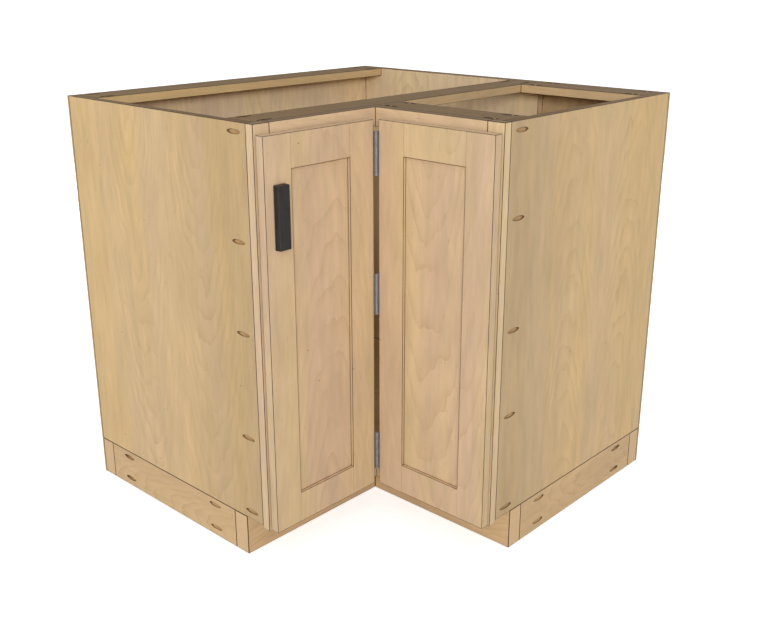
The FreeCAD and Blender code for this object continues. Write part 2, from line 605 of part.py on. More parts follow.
# Doors: stiles and rails with a groove on their inner edges, stub tenons on the rails, a flat panel between
GROOVE_FRONT = f"({DOOR_MIDDLE} - door_panel / 2 - groove_play)"
GROOVE_BACK = f"({DOOR_MIDDLE} + door_panel / 2 + groove_play)"
PANEL_FRONT = f"({DOOR_MIDDLE} - door_panel / 2)"
PANEL_REAR = f"({DOOR_MIDDLE} + door_panel / 2)"
OPEN_OUTER = f"({DOOR_OUTER} + door_frame)"
OPEN_INNER = f"({DOOR_INNER} - door_frame)"
OPEN_FOOT = f"({DOOR_FOOT} + door_frame)"
OPEN_TOP = f"({DOOR_TOP} - door_frame)"
TONGUE = "(groove_depth - groove_play)"
stile_tools = {
    "left_outer": pull_taps + pull_holes,
    "left_inner": leaf_pilots["left"],
    "right_outer": cup_bores,
    "right_inner": leaf_pilots["right"],
}
for leg in LEGS:
    whole = (DOOR_FRONT, DOOR_BACK)
    stile_spans = {
        "outer": ((DOOR_OUTER, OPEN_OUTER), (f"{OPEN_OUTER} - groove_depth", OPEN_OUTER)),
        "inner": ((OPEN_INNER, DOOR_INNER), (OPEN_INNER, f"{OPEN_INNER} + groove_depth")),
    }
    for name, (along, groove_along) in stile_spans.items():
        blank = board(f"{leg}_{name}_blank", leg, along, whole, (DOOR_FOOT, DOOR_TOP))
        groove = board(f"{leg}_{name}_groove", leg, groove_along, (GROOVE_FRONT, GROOVE_BACK),
                       (DOOR_FOOT, DOOR_TOP))
        keep(f"{leg}_door_{name}_stile", cut(f"{leg}_{name}_stile_cut", blank,
                                             [groove] + stile_tools[f"{leg}_{name}"]))
    rail_spans = {
        "top": ((OPEN_TOP, DOOR_TOP), (OPEN_TOP, f"{OPEN_TOP} + groove_depth")),
        "bottom": ((DOOR_FOOT, OPEN_FOOT), (f"{OPEN_FOOT} - groove_depth", OPEN_FOOT)),
    }
    tenon_along = (f"{OPEN_OUTER} - {TONGUE}", f"{OPEN_INNER} + {TONGUE}")
    for name, (up, groove_up) in rail_spans.items():
        blank = board(f"{leg}_{name}_rail_blank", leg, (OPEN_OUTER, OPEN_INNER), whole, up)
        tenon = board(f"{leg}_{name}_tenon", leg, tenon_along, (PANEL_FRONT, PANEL_REAR), up)
        groove = board(f"{leg}_{name}_rail_groove", leg, tenon_along, (GROOVE_FRONT, GROOVE_BACK), groove_up)
        solid = fuse(f"{leg}_{name}_rail_solid", [blank, tenon])
        keep(f"{leg}_door_{name}_rail", cut(f"{leg}_{name}_rail_cut", solid, [groove]))
    keep(f"{leg}_door_panel", board(f"{leg}_door_flat", leg, tenon_along, (PANEL_FRONT, PANEL_REAR),
                                    (f"{OPEN_FOOT} - {TONGUE}", f"{OPEN_TOP} + {TONGUE}")))

# Bumpers: the left door rests on its stile, the right door on its rails beside the inner corner
bumper_levels = ("(height - door_reveal / 2 - rail_height / 2)", f"({FRAME_FOOT} + rail_height / 2)")
bumper_along = {"left": f"{DOOR_OUTER} + bumper_inset", "right": f"{DOOR_INNER} - bumper_inset"}
for leg in LEGS:
    to_frame = FreeCAD.Vector(*turn(leg, 0, 1, 0))
    pads = [
        rod(f"{leg}_bumper_{i}", "bumper_diameter", "door_gap - bumper_play",
            turn(leg, bumper_along[leg], DOOR_BACK, level), to_frame)
        for i, level in enumerate(bumper_levels)
    ]
    keep(f"{leg}_door_bumpers", group(f"{leg}_bumper_group", pads))

doc.recompute()
broken = [thing.Name for thing in doc.Objects if "Invalid" in thing.State or "Error" in thing.State]
if broken:
    raise RuntimeError("features that failed: " + ", ".join(broken))
for thing in subparts:
    if thing.Shape.isNull() or not thing.Shape.isValid() or not thing.Shape.Solids:
        raise RuntimeError("no sound solid in " + thing.Label)

os.makedirs("parts", exist_ok=True)
for thing in subparts:
    thing.Shape.exportStep(f"parts/{thing.Label}.step")
print(f"{len(subparts)} sub-parts written")
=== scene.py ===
"""Looks of the easy reach corner base cabinet: wood, metal and rubber finishes, eased edges, detailed screws
and bumpers, a plain stage, soft light and the camera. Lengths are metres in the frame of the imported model."""

import json
import math
from collections import namedtuple

import bmesh
import bpy
import numpy as np
from mathutils import Matrix, Vector

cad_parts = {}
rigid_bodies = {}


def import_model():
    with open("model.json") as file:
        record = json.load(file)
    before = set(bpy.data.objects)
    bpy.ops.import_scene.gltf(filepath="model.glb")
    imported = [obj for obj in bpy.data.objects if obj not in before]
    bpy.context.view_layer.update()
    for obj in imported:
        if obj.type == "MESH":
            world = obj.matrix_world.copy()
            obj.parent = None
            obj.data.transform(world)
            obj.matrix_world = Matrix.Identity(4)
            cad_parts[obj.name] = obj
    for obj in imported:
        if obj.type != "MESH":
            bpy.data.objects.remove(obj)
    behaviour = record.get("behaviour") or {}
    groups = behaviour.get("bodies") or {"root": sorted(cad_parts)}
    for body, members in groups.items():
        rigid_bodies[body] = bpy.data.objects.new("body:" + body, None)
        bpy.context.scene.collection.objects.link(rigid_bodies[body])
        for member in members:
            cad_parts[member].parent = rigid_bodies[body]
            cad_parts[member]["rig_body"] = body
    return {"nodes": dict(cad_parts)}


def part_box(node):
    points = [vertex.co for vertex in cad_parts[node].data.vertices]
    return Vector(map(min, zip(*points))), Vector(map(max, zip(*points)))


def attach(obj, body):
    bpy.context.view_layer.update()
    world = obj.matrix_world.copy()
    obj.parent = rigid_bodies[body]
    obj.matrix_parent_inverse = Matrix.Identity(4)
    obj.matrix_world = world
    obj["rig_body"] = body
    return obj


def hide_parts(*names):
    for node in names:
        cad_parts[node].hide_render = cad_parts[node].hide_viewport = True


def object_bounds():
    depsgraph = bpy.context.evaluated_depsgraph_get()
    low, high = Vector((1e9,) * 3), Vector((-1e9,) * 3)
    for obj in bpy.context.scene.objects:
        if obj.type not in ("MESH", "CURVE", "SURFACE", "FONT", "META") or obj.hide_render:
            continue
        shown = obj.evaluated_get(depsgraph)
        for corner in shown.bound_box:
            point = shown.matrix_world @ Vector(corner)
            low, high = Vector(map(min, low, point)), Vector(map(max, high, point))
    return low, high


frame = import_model()
cad_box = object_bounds()
nodes = frame["nodes"]

AXES = "XYZ"
WHITE = (1.0, 1.0, 1.0, 1.0)
# The range that most values of a noise lie in
MIDDLE = (0.3, 0.7)
# Samples of the masks for edges and corners, and what they read on a flat face and where they are full
MASK_SAMPLES = 6
EDGE_COSINE = (0.99, 0.80)
OPEN_SHARE = (0.95, 0.45)


def srgb(red, green, blue):
    """A linear colour from the 0 to 255 values a painter would name."""
    def linear(value):
        share = value / 255
        return share / 12.92 if share <= 0.04045 else ((share + 0.055) / 1.055) ** 2.4
    return (linear(red), linear(green), linear(blue), 1.0)


class Nodes:
    """A node tree and short ways to add nodes to it."""

    def __init__(self, tree):
        self.tree = tree

    def add(self, kind, inputs=None, **settings):
        """A node with its settings, and with each input set to a value or joined to a socket."""
        node = self.tree.nodes.new(kind)
        for key, value in settings.items():
            setattr(node, key, value)
        for key, value in (inputs or {}).items():
            self.feed(node.inputs[key], value)
        return node

    def feed(self, socket, value):
        """Join a socket to another one, or set its value."""
        if isinstance(value, bpy.types.NodeSocket):
            self.tree.links.new(value, socket)
        else:
            socket.default_value = value

    def math(self, operation, first, *others):
        """A sum on one number, or a sum carried along a row of numbers."""
        for other in others or (0.0,):
            first = self.add("ShaderNodeMath", {0: first, 1: other}, operation=operation).outputs[0]
        return first

    def vector_math(self, operation, first, second=(0.0, 0.0, 0.0), output="Vector"):
        """A sum on one vector or two."""
        return self.add("ShaderNodeVectorMath", {0: first, 1: second}, operation=operation).outputs[output]

    def axes(self, vector):
        """The parts of a vector, by the name of their axis."""
        return self.add("ShaderNodeSeparateXYZ", {0: vector}).outputs

    def join(self, x, y, z=0.0):
        """A vector from its parts."""
        return self.add("ShaderNodeCombineXYZ", {0: x, 1: y, 2: z}).outputs[0]

    def spread(self, value, low, high, start=0.0, stop=1.0):
        """A number moved from the range low to high into the range start to stop."""
        inputs = {0: value, 1: low, 2: high, 3: start, 4: stop}
        return self.add("ShaderNodeMapRange", inputs).outputs[0]

    def coordinate(self, kind):
        """A coordinate that textures go by, such as the place on the object or the normal."""
        return self.add("ShaderNodeTexCoord").outputs[kind]


class Shading(Nodes):
    """One material and short ways to paint it."""

    def __init__(self, name):
        self.material = bpy.data.materials.new(name)
        self.material.use_nodes = True
        super().__init__(self.material.node_tree)
        self.surface = self.tree.nodes["Principled BSDF"]

    def mix(self, factor, first, second, blend="MIX"):
        """Two colours mixed."""
        inputs = {0: factor, 6: first, 7: second}
        return self.add("ShaderNodeMix", inputs, data_type="RGBA", blend_type=blend).outputs[2]

    def tint(self, mask, colour, tint):
        """A colour darkened by a tint where a mask is one."""
        return self.mix(mask, colour, self.mix(1.0, colour, tint, "MULTIPLY"))

    def grey(self, value):
        """A number as a colour."""
        return self.add("ShaderNodeCombineColor", {0: value, 1: value, 2: value}).outputs[0]

    def stretch(self, vector, scale=(1, 1, 1), shift=(0, 0, 0), turn=(0, 0, 0)):
        """A coordinate scaled, turned and shifted."""
        inputs = {"Vector": vector, "Scale": scale, "Location": shift, "Rotation": turn}
        return self.add("ShaderNodeMapping", inputs).outputs[0]

    def noise(self, vector, scale, detail=2.0, roughness=0.5):
        """Cloudy noise, as its number and its colour."""
        inputs = {"Vector": vector, "Scale": scale, "Detail": detail, "Roughness": roughness}
        node = self.add("ShaderNodeTexNoise", inputs)
        return node.outputs[0], node.outputs[1]

    def rounded(self, radius, samples):
        """The normal as if edges were rounded."""
        return self.add("ShaderNodeBevel", {"Radius": radius}, samples=samples).outputs[0]

    def edge_mask(self, radius):
        """Zero on flat faces and rising towards one at outer edges."""
        flat = self.add("ShaderNodeNewGeometry").outputs["Normal"]
        along = self.vector_math("DOT_PRODUCT", self.rounded(radius, MASK_SAMPLES), flat, "Value")
        return self.spread(along, *EDGE_COSINE)

    def crevice_mask(self, reach):
        """Zero in the open and rising towards one in inside corners, for painted shade there."""
        inputs = {"Distance": reach}
        share = self.add("ShaderNodeAmbientOcclusion", inputs, samples=MASK_SAMPLES).outputs["AO"]
        return self.spread(share, *OPEN_SHARE)

    def finish(self, colour, rough, relief, fixed=None):
        """Join colour, roughness and relief to the surface, and set what is the same all over it."""
        self.feed(self.surface.inputs["Base Color"], colour)
        self.feed(self.surface.inputs["Roughness"], rough)
        self.feed(self.surface.inputs["Normal"], self.add("ShaderNodeBump", relief).outputs[0])
        for name, value in (fixed or {}).items():
            self.surface.inputs[name].default_value = value
        return self.material


# A board: kind of wood, grain axis, axis of thickness, number of plies, which cut of the log, its box, and
# for the frame of a door its opening as (axis, low, high) twice
Board = namedtuple("Board", "kind grain thick plies cut box opening")

# Woods: colours of the two bands that a board alternates between, of its growth lines and its end grain, the
# width of a ring, how strongly the lines show, the width of one leaf of veneer and how dark the heartwood is
WOODS = {
    "plywood": {
        "tan": srgb(213, 181, 130),
        "pink": srgb(209, 179, 137),
        "line": srgb(168, 130, 84),
        "edge": srgb(224, 196, 152),
        "ring": 0.0085,
        "line_share": 0.29,
        "leaf": 0.27,
        "heart": 0.79,
    },
    # The inner backs: the plywood painted lighter, as painted light against the shade inside the cabinet
    "painted_light_lining": {
        "tan": srgb(234, 209, 165),
        "pink": srgb(229, 203, 169),
        "line": srgb(178, 142, 98),
        "edge": srgb(237, 214, 175),
        "ring": 0.0085,
        "line_share": 0.25,
        "leaf": 0.27,
        "heart": 1.0,
    },
    "frame": {
        "tan": srgb(218, 191, 148),
        "pink": srgb(213, 184, 150),
        "line": srgb(178, 142, 98),
        "edge": srgb(232, 206, 170),
        "ring": 0.009,
        "line_share": 0.27,
        "leaf": 0.0,
        "heart": 1.0,
    },
    "door": {
        "tan": srgb(208, 181, 139),
        "pink": srgb(203, 174, 143),
        "line": srgb(168, 134, 98),
        "edge": srgb(226, 198, 164),
        "ring": 0.011,
        "line_share": 0.32,
        "leaf": 0.0,
        "heart": 1.0,
    },
    "stud": {
        "tan": srgb(210, 179, 134),
        "pink": srgb(204, 172, 130),
        "line": srgb(172, 134, 92),
        "edge": srgb(216, 184, 142),
        "ring": 0.0065,
        "line_share": 0.38,
        "leaf": 0.0,
        "heart": 1.0,
    },
}
# Noises of the wood: stretch along the grain, waves in a metre, detail and roughness
WOOD_NOISES = {
    "band": (0.06, 11.0, 1.0, 0.5),
    "mottle": (0.4, 14.0, 3.0, 0.55),
    "curl": (0.16, 55.0, 2.0, 0.6),
    "fibre": (0.018, 420.0, 3.0, 0.6),
    "pore": (0.12, 420.0, 1.0, 0.5),
}
# What those noises do: the ranges in which bands change, lines fade and pores open, and how far tones vary
BAND_RANGE = (0.36, 0.62)
FADE_RANGE = (0.30, 0.62)
PORE_RANGE = (0.72, 0.78)
PORE_SHARE = 0.30
MOTTLE_TONE = (0.95, 1.05)
FIBRE_TONE = (0.98, 1.02)
CURL_TONE = (0.93, 1.07)
# Where across a board its darker heartwood ends
HEART_EDGE = (-0.26, -0.02)
# Shift of the noises from one cut of a log to the next
CUT_STEP = Vector((0.37, 0.53, 0.71))
# Slow waves of the grain: stretch along it, waves in a metre, and how far they stray across, through and
# along it
SWAY_STRETCH = (1, 1, 0.3)
SWAY_WAVES = 5.0
SWAY_REACH = (0.05, 0.02, 0.0)
# How a log is cut: depth of its heart behind the face, stretch of its rings along the grain, and the lean,
# turn and sideways place of a cut, which differ from cut to cut
HEART_DEPTH = 0.12
GRAIN_STRETCH = 0.45
LOG_LEAN = 0.30
LOG_TURN, TURN_STEP = 0.06, 1.7
LOG_ASIDE, ASIDE_STEP = 0.05, 2.4
# Share of a veneer leaf at which its heart lies
LEAF_HEART = 0.4
# Growth rings: width of a wave at scale 1, their unrest, where latewood starts and how fast it darkens, and
# how the lines fade away from the heart
WAVE_PERIOD = 0.1 * math.pi
RING_UNREST = {"Distortion": 7.5, "Detail": 2.0, "Detail Scale": 0.5, "Detail Roughness": 0.55}
LATEWOOD_START = 0.2
LATEWOOD_POWER = 2.5
HEART_REACH = (0.05, 0.13)
FAR_LINES = 0.15
# Pin knots: places in a metre, the share of places that stay empty, and where a knot starts and is darkest
KNOT_PLACES = 7.0
KNOT_EMPTY = 0.72
KNOT_RANGE = (0.014, 0.006)
KNOT_SHARE = 0.7
KNOT_FACING = 8.0
KNOT = srgb(112, 78, 50)
PORE = srgb(128, 92, 60)
# Edges of plywood: shares of cross plies and glue in their colours, and how near to a glue line it shows
PLY_CROSS = srgb(186, 150, 104)
CROSS_SHARE = 0.65
PLY_GLUE = srgb(150, 112, 74)
GLUE_SHARE = 0.45
GLUE_RANGE = (0.10, 0.03)
# End grain of solid wood
END_DARK = srgb(198, 160, 116)
END_LINES = 0.6
END_SHARE = 0.9
# Bare wood in holes, and the largest part of the normal on a flat face and on the wall of a hole
DRILLED = srgb(232, 222, 208)
HOLE_NORMAL = (0.9995, 0.985)
# Painted shade on the upward faces at the top: how far below the top it starts and is full, and how far a face
# looks up for it
TOP_SHADE_TINT = srgb(166, 158, 147)
TOP_RANGE = (0.0030, 0.0010)
TOP_FACING = (0.5, 0.9)
# Painted shade in the rims of holes: its colour and depth in upright and in lying boards, the depth at which it
# is full, and how far the painted shade spreads from inside corners
UPRIGHT_RIM_SHADE = (srgb(124, 97, 74), 0.0022)
LYING_RIM_SHADE = (srgb(58, 43, 33), 0.014)
RIM_FULL = 0.0008
CREVICE_REACH = 0.0025
# Painted shade along the arrises, in place of the shading of eased edges and joints, from its fading edge
# inwards
ARRIS_SHADE = srgb(96, 72, 54)
ARRIS_RANGE = (0.0013, 0.0004)
# Finish of the wood: roughness, more of it on the tops under the painted shade, and relief of fibres and growth
# lines
WOOD_ROUGHNESS = (0.48, 0.62)
ROUGH_RANGE = (0.25, 0.75)
TOP_ROUGHNESS = 0.35
LINE_RELIEF = 0.35
WOOD_RELIEF = {"Strength": 0.10, "Distance": 0.0004}
WOOD_ROUNDING = 0.0008
WOOD_SPECULAR = 0.28


def grain_coordinates(shade, board, parts):
    """Coordinates from a board's centre: X across its face, Y through its thickness, Z along the grain."""
    across = next(axis for axis in AXES if axis not in (board.grain, board.thick))
    order = (across, board.thick, board.grain)
    centre = (board.box[0] + board.box[1]) / 2
    turned = shade.join(*[parts[axis] for axis in order])
    return shade.stretch(turned, shift=[-centre[AXES.index(axis)] for axis in order])


def wood_noise(shade, vector, kind):
    """One of the noises of the wood, drawn out along the grain."""
    along, waves, detail, roughness = WOOD_NOISES[kind]
    return shade.noise(shade.stretch(vector, scale=(1, 1, along)), waves, detail, roughness)[0]


def bent(shade, vector):
    """The grain coordinate with slow waves, as a tree never grows quite straight."""
    cloud = shade.noise(shade.stretch(vector, scale=SWAY_STRETCH), SWAY_WAVES)[1]
    centred = shade.vector_math("SUBTRACT", cloud, (0.5, 0.5, 0.5))
    return shade.vector_math("ADD", vector, shade.stretch(centred, scale=SWAY_REACH))


def growth_lines(shade, vector, wood, cut):
    """Growth rings cut nearly along the trunk, so that the face shows arches and long bands."""
    parts = shade.axes(vector)
    across = shade.math("ADD", parts["X"], LOG_ASIDE * math.sin(ASIDE_STEP * cut))
    if wood["leaf"]:
        across = shade.math("PINGPONG", across, wood["leaf"])
        across = shade.math("SUBTRACT", across, LEAF_HEART * wood["leaf"])
    side = 1 if cut % 2 else -1
    turn = (side * LOG_LEAN, LOG_TURN * math.cos(TURN_STEP * cut), 0.0)
    leaf = shade.join(across, parts["Y"], parts["Z"])
    trunk = shade.stretch(leaf, scale=(1, 1, GRAIN_STRETCH), shift=(0.0, HEART_DEPTH, 0.0), turn=turn)
    inputs = {"Vector": trunk, "Scale": WAVE_PERIOD / wood["ring"], **RING_UNREST}
    settings = {"wave_type": "RINGS", "rings_direction": "Z", "wave_profile": "SAW"}
    wave = shade.add("ShaderNodeTexWave", inputs, **settings).outputs["Fac"]
    late = shade.math("POWER", shade.spread(wave, LATEWOOD_START, 1.0), LATEWOOD_POWER)
    near = shade.spread(shade.math("ABSOLUTE", across), *HEART_REACH, 1.0, FAR_LINES)
    return shade.math("MULTIPLY", late, near)


def wood_figure(shade, wood, cut, wavy, line, fibre):
    """The clean face of a board: bands, growth lines, clouds, streaks and pores."""
    swayed = bent(shade, cut)
    band = wood_noise(shade, swayed, "band")
    mottle = wood_noise(shade, cut, "mottle")
    curl = wood_noise(shade, swayed, "curl")
    pore = wood_noise(shade, cut, "pore")
    colour = shade.mix(shade.spread(band, *BAND_RANGE), wood["tan"], wood["pink"])
    share = shade.math("MULTIPLY", line, shade.spread(mottle, *FADE_RANGE), wood["line_share"])
    colour = shade.mix(share, colour, wood["line"])
    tone = shade.math(
        "MULTIPLY",
        shade.spread(mottle, *MIDDLE, *MOTTLE_TONE),
        shade.spread(fibre, *MIDDLE, *FIBRE_TONE),
        shade.spread(curl, *MIDDLE, *CURL_TONE),
    )
    if wood["heart"] < 1:
        sideways = shade.axes(wavy)["X"]
        tone = shade.math("MULTIPLY", tone, shade.spread(sideways, *HEART_EDGE, wood["heart"], 1.0))
    colour = shade.mix(1.0, colour, shade.grey(tone), "MULTIPLY")
    return shade.mix(shade.spread(pore, *PORE_RANGE, 0.0, PORE_SHARE), colour, PORE)


def pin_knots(shade, colour, vector, through):
    """A few small knots on the faces of a board; through is the part of the normal along its thickness."""
    parts = shade.axes(vector)
    inputs = {"Vector": shade.join(parts["X"], parts["Z"]), "Scale": KNOT_PLACES}
    cells = shade.add("ShaderNodeTexVoronoi", inputs, voronoi_dimensions="2D").outputs
    chance = shade.add("ShaderNodeSeparateColor", {0: cells["Color"]}).outputs[0]
    few = shade.math("GREATER_THAN", chance, KNOT_EMPTY)
    knot = shade.math("MULTIPLY", shade.spread(cells["Distance"], *KNOT_RANGE), few)
    flat = shade.math("POWER", shade.math("ABSOLUTE", through), KNOT_FACING)
    return shade.mix(shade.math("MULTIPLY", knot, flat, KNOT_SHARE), colour, KNOT)


def plywood_edge(shade, board, colour, parts, facing):
    """Long and cross plies with glue lines between them, seen only on the edges of a panel."""
    index = AXES.index(board.thick)
    low, high = board.box[0][index], board.box[1][index]
    level = shade.spread(parts[board.thick], low, high, 0.0, board.plies)
    odd = shade.math("GREATER_THAN", shade.math("MODULO", level, 2.0), 1.0)
    glue = shade.spread(shade.math("PINGPONG", level, 0.5), *GLUE_RANGE, 0.0, GLUE_SHARE)
    plies = shade.mix(shade.math("MULTIPLY", odd, CROSS_SHARE), colour, PLY_CROSS)
    plies = shade.mix(glue, plies, PLY_GLUE)
    edge = shade.math("SUBTRACT", 1.0, shade.math("ABSOLUTE", facing[board.thick]))
    return shade.mix(edge, colour, plies)


def end_grain(shade, board, colour, line, facing):
    """Rings on the ends of a solid board."""
    rings = shade.mix(shade.math("MULTIPLY", line, END_LINES), WOODS[board.kind]["edge"], END_DARK)
    end = shade.math("ABSOLUTE", facing[board.grain])
    return shade.mix(shade.math("MULTIPLY", end, END_SHARE), colour, rings)


def hole_mask(shade, facing):
    """One on the walls of slanted and round holes, zero on the flat faces of a board."""
    size = shade.math("MAXIMUM", *[shade.math("ABSOLUTE", facing[axis]) for axis in AXES])
    return shade.spread(size, *HOLE_NORMAL)


def depths(shade, parts, box):
    """How far a point is below the nearest side of a board's box, and below the second nearest."""
    found = []
    for axis, low, high in zip(AXES, *box):
        offset = shade.math("ABSOLUTE", shade.math("SUBTRACT", parts[axis], (high + low) / 2))
        found.append(shade.math("SUBTRACT", (high - low) / 2, offset))
    first, second, third = found
    lesser = shade.math("MINIMUM", first, second)
    greater = shade.math("MAXIMUM", first, second)
    nearest = shade.math("MINIMUM", lesser, third)
    return nearest, shade.math("MAXIMUM", lesser, shade.math("MINIMUM", greater, third))


def opening_edge(shade, parts, below, opening):
    """Distance from the edge round the opening of a door frame."""
    outside = []
    for axis, low, high in opening:
        offset = shade.math("ABSOLUTE", shade.math("SUBTRACT", parts[axis], (low + high) / 2))
        outside.append(shade.math("SUBTRACT", offset, (high - low) / 2))
    return shade.math("MAXIMUM", below, *outside)


def painted_top_shade(shade, parts, facing):
    """One on the upward faces at the top, under the worktop, which take painted shade, and zero elsewhere."""
    top = cad_box[1][2]
    level = shade.spread(parts["Z"], *[top - depth for depth in TOP_RANGE])
    return shade.math("MULTIPLY", level, shade.spread(facing["Z"], *TOP_FACING))


def bare_wood_and_painted_shade(shade, board, colour, raw, parts, facing):
    """Bare wood in holes, and painted shade on the tops, in the rims of holes, in inside corners and along
    arrises.
    """
    below, from_edge = depths(shade, parts, board.box)
    shade_tint, deep = LYING_RIM_SHADE if board.thick == "Z" else UPRIGHT_RIM_SHADE
    hole = hole_mask(shade, facing)
    rim = shade.math("MULTIPLY", hole, shade.spread(below, deep, RIM_FULL))
    # Painted shade in the rims of holes and in inside corners
    painted_shade = shade.math("MAXIMUM", rim, shade.crevice_mask(CREVICE_REACH))
    # Round the opening of a door frame too, where the painted shade stands in for the shade of the recess
    if board.opening:
        from_edge = shade.math("MINIMUM", from_edge, opening_edge(shade, parts, below, board.opening))
    # Painted shade along the arrises
    arris_shade = shade.spread(from_edge, *ARRIS_RANGE)
    # Bare wood in holes, then painted shade on the tops, in rims and corners and along the arrises
    for mask, tint in ((hole, DRILLED), (raw, TOP_SHADE_TINT), (painted_shade, shade_tint), (arris_shade, ARRIS_SHADE)):
        colour = shade.tint(mask, colour, tint)
    return colour


def wood_material(name, board):
    """The wood of what fills a box: one board, or the members of a door frame that are cut from one log."""
    shade = Shading(name)
    wood = WOODS[board.kind]
    parts = shade.axes(shade.coordinate("Object"))
    facing = shade.axes(shade.coordinate("Normal"))
    local = grain_coordinates(shade, board, parts)
    cut = shade.stretch(local, shift=CUT_STEP * board.cut)
    wavy = bent(shade, local)
    line = growth_lines(shade, wavy, wood, board.cut)
    fibre = wood_noise(shade, cut, "fibre")
    # Painted shade on the upward faces at the top, which are also rougher
    raw = painted_top_shade(shade, parts, facing)

    colour = wood_figure(shade, wood, cut, wavy, line, fibre)
    colour = pin_knots(shade, colour, cut, facing[board.thick])
    if board.plies:
        colour = plywood_edge(shade, board, colour, parts, facing)
    else:
        colour = end_grain(shade, board, colour, line, facing)
    colour = bare_wood_and_painted_shade(shade, board, colour, raw, parts, facing)

    rough = shade.spread(fibre, *ROUGH_RANGE, *WOOD_ROUGHNESS)
    rough = shade.math("ADD", rough, shade.math("MULTIPLY", raw, TOP_ROUGHNESS))
    height = shade.math("SUBTRACT", fibre, shade.math("MULTIPLY", line, LINE_RELIEF))
    relief = {"Height": height, "Normal": shade.rounded(WOOD_ROUNDING, samples=4), **WOOD_RELIEF}
    return shade.finish(colour, rough, relief, {"Specular IOR Level": WOOD_SPECULAR})


# Worn steel, and how much darker clouded plating is than clear plating
STEEL_WORN = srgb(214, 213, 212)
STEEL_CLOUDED = 0.82


def steel_material(name, tone, roughness):
    """Plated steel with faint brushing, clouded plating and bright worn edges."""
    shade = Shading(name)
    spot = shade.coordinate("Object")
    brushed = shade.noise(shade.stretch(spot, scale=(1, 1, 0.04)), scale=2200.0)[0]
    cloud = shade.noise(spot, scale=120.0, detail=3.0, roughness=0.6)[0]
    clouded = [STEEL_CLOUDED * part for part in tone[:3]] + [1.0]
    colour = shade.mix(shade.spread(cloud, *MIDDLE), tone, clouded)
    worn = shade.math("MULTIPLY", shade.edge_mask(radius=0.0004), 0.5)
    colour = shade.mix(worn, colour, STEEL_WORN)
    scratched = shade.spread(brushed, *MIDDLE, start=-0.06, stop=0.06)
    dulled = shade.spread(cloud, *MIDDLE, start=-0.05, stop=0.05)
    rough = shade.math("ADD", scratched, dulled, roughness)
    relief = {"Height": brushed, "Strength": 0.08, "Distance": 0.0001}
    return shade.finish(colour, rough, relief, {"Metallic": 1.0})


def black_material():
    """Powder-coated pull: fine orange peel, a little rubbed on its edges."""
    shade = Shading("black_powder_coat")
    spot = shade.coordinate("Object")
    peel = shade.noise(spot, scale=900.0)[0]
    cloud = shade.noise(spot, scale=60.0, detail=3.0)[0]
    colour = shade.mix(shade.spread(cloud, *MIDDLE), srgb(28, 28, 29), srgb(40, 40, 41))
    rubbed = shade.math("MULTIPLY", shade.edge_mask(radius=0.0009), 0.4)
    colour = shade.mix(rubbed, colour, srgb(84, 84, 86))
    rough = shade.spread(cloud, *MIDDLE, start=0.46, stop=0.60)
    relief = {"Height": peel, "Strength": 0.25, "Distance": 0.0002}
    return shade.finish(colour, rough, relief, {"Specular IOR Level": 0.30})


def rubber_material():
    """Soft clear-grey bumper with a dusty bloom."""
    shade = Shading("bumper_rubber")
    bloom = shade.noise(shade.coordinate("Object"), scale=400.0, detail=3.0)[0]
    colour = shade.mix(shade.spread(bloom, *MIDDLE), srgb(196, 194, 188), srgb(172, 170, 166))
    rough = shade.spread(bloom, *MIDDLE, start=0.35, stop=0.55)
    return shade.finish(colour, rough, {"Height": bloom, "Strength": 0.1, "Distance": 0.0002})


# Boards: kind of wood, grain axis, axis of thickness, number of plies, which cut of the log
THICK_PLIES = 7
THIN_PLIES = 3
SOLID = 0
BOARDS = {
    "left_side_panel": ("plywood", "Z", "X", THICK_PLIES, 1),
    "right_side_panel": ("plywood", "Z", "Y", THICK_PLIES, 2),
    # The inner backs take the plywood painted lighter
    "left_back_panel": ("painted_light_lining", "Z", "Y", THICK_PLIES, 3),
    "right_back_panel": ("painted_light_lining", "Z", "X", THICK_PLIES, 4),
    "left_back_skin": ("plywood", "Z", "Y", THIN_PLIES, 5),
    "right_back_skin": ("plywood", "Z", "X", THIN_PLIES, 6),
    "bottom_panel": ("plywood", "X", "Z", THICK_PLIES, 7),
    "back_left_stretcher": ("plywood", "X", "Z", SOLID, 8),
    "long_front_stretcher": ("plywood", "X", "Z", SOLID, 9),
    "right_front_stretcher": ("plywood", "Y", "Z", SOLID, 10),
    "right_back_stretcher": ("plywood", "Y", "Z", SOLID, 11),
    "left_door_panel": ("door", "Z", "Y", THIN_PLIES, 12),
    "right_door_panel": ("door", "Z", "X", THIN_PLIES, 13),
    "left_stile": ("frame", "Z", "Y", SOLID, 14),
    "right_stile": ("frame", "Z", "X", SOLID, 15),
    "left_top_rail": ("frame", "X", "Y", SOLID, 16),
    "left_bottom_rail": ("frame", "X", "Y", SOLID, 17),
    "right_top_rail": ("frame", "Y", "X", SOLID, 18),
    "right_bottom_rail": ("frame", "Y", "X", SOLID, 19),
    "toe_kick_front_left": ("stud", "X", "Y", SOLID, 20),
    "toe_kick_back_left": ("stud", "X", "Y", SOLID, 21),
    "toe_kick_side_left": ("stud", "Y", "X", SOLID, 22),
    "toe_kick_front_right": ("stud", "Y", "X", SOLID, 23),
    "toe_kick_back_right": ("stud", "Y", "X", SOLID, 24),
    "toe_kick_side_right": ("stud", "X", "Y", SOLID, 25),
}
# The frame of each door is cut from one log, so that its figure runs on over the joints: axis of thickness,
# axis across the door, which cut of the log
DOOR_MEMBERS = ("outer_stile", "inner_stile", "top_rail", "bottom_rail")
DOOR_CUTS = {"left": ("Y", "X", 26), "right": ("X", "Y", 27)}
